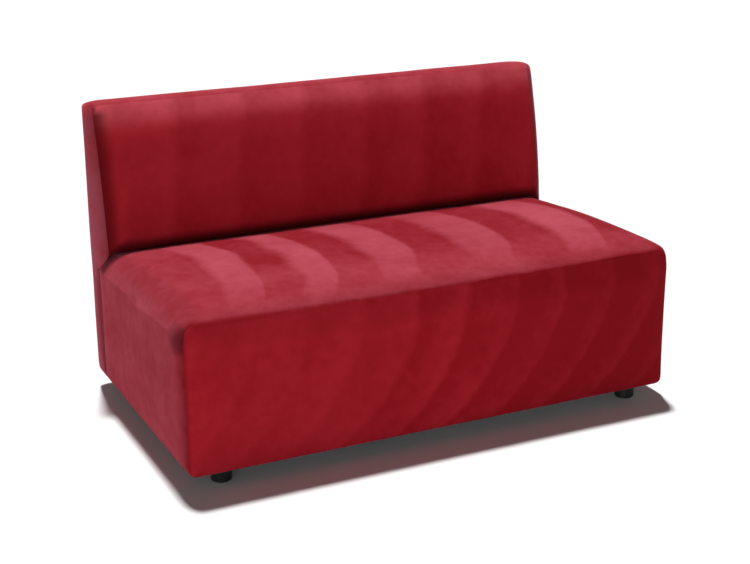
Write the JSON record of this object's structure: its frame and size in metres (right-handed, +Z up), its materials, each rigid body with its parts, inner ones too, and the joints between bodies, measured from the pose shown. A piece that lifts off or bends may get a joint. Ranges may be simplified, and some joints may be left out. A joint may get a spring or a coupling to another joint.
{
  "type": "armless sofa",
  "caption": "Armless upholstered sofa: crowned fixed seat, raked padded back, hidden plywood and spring frame, low round screw-in levelling feet.",
  "frame": {"origin": "on the floor, under the middle of the overall box", "axes": "+X along the width, to the right of a viewer who faces the front; +Y from front to back; +Z up"},
  "size_m": [1.32, 0.75, 0.78],
  "materials": {
    "cover_fabric": "brushed short pile",
    "foam": "open-cell foam",
    "wadding": "loose fibre",
    "felt": "pressed felt",
    "plywood": "sawn plywood",
    "block_wood": "sawn softwood",
    "hardboard": "smooth hardboard",
    "webbing": "woven elastic",
    "spring_steel": "oiled wire",
    "zinc_steel": "zinc plated",
    "foot_plastic": "satin moulded",
    "dust_cloth": "non-woven cloth"
  },
  "bodies": {
    "sofa_body": {"seat_top_cover": "cover_fabric", "seat_front_cover": "cover_fabric", "back_front_cover": "cover_fabric", "back_boxing_cover": "cover_fabric", "back_rear_cover": "cover_fabric", "seat_foam": "foam", "back_foam": "foam", "seat_front_pad": "foam", "seat_left_pad": "foam", "seat_right_pad": "foam", "back_left_pad": "foam", "back_right_pad": "foam", "back_top_pad": "foam", "seat_wadding": "wadding", "seat_felt": "felt", "seat_front_rail": "plywood", "seat_rear_rail": "plywood", "seat_left_rail": "plywood", "seat_right_rail": "plywood", "seat_middle_rail": "plywood", "back_left_post": "plywood", "back_right_post": "plywood", "back_middle_post": "plywood", "back_bottom_rail": "plywood", "back_tacking_rail": "plywood", "back_top_rail": "plywood", "seat_front_left_block": "block_wood", "seat_front_right_block": "block_wood", "seat_rear_left_block": "block_wood", "seat_rear_right_block": "block_wood", "back_left_foot_block": "block_wood", "back_right_foot_block": "block_wood", "back_rear_board": "hardboard", "back_webbing_strap_1": "webbing", "back_webbing_strap_2": "webbing", "back_webbing_strap_3": "webbing", "back_webbing_strap_4": "webbing", "seat_spring_1": "spring_steel", "seat_spring_2": "spring_steel", "seat_spring_3": "spring_steel", "seat_spring_4": "spring_steel", "seat_spring_5": "spring_steel", "seat_spring_6": "spring_steel", "seat_spring_7": "spring_steel", "seat_spring_8": "spring_steel", "seat_spring_clips": "zinc_steel", "frame_bolts": "zinc_steel", "frame_bolt_washers": "zinc_steel", "frame_tee_nuts": "zinc_steel", "foot_tee_nuts": "zinc_steel", "dust_cover": "dust_cloth"},
    "levelling_foot_front_left": {"foot_front_left": "foot_plastic", "foot_stem_front_left": "zinc_steel"},
    "levelling_foot_front_right": {"foot_front_right": "foot_plastic", "foot_stem_front_right": "zinc_steel"},
    "levelling_foot_rear_left": {"foot_rear_left": "foot_plastic", "foot_stem_rear_left": "zinc_steel"},
    "levelling_foot_rear_right": {"foot_rear_right": "foot_plastic", "foot_stem_rear_right": "zinc_steel"}
  },
  "joints": [
    {"name": "foot_height_front_left", "type": "slide", "parent": "sofa_body", "child": "levelling_foot_front_left", "axis": [0, 0, -1], "range_m": [0, 0.012]},
    {"name": "foot_height_front_right", "type": "slide", "parent": "sofa_body", "child": "levelling_foot_front_right", "axis": [0, 0, -1], "range_m": [0, 0.012]},
    {"name": "foot_height_rear_left", "type": "slide", "parent": "sofa_body", "child": "levelling_foot_rear_left", "axis": [0, 0, -1], "range_m": [0, 0.012]},
    {"name": "foot_height_rear_right", "type": "slide", "parent": "sofa_body", "child": "levelling_foot_rear_right", "axis": [0, 0, -1], "range_m": [0, 0.012]}
  ]
}
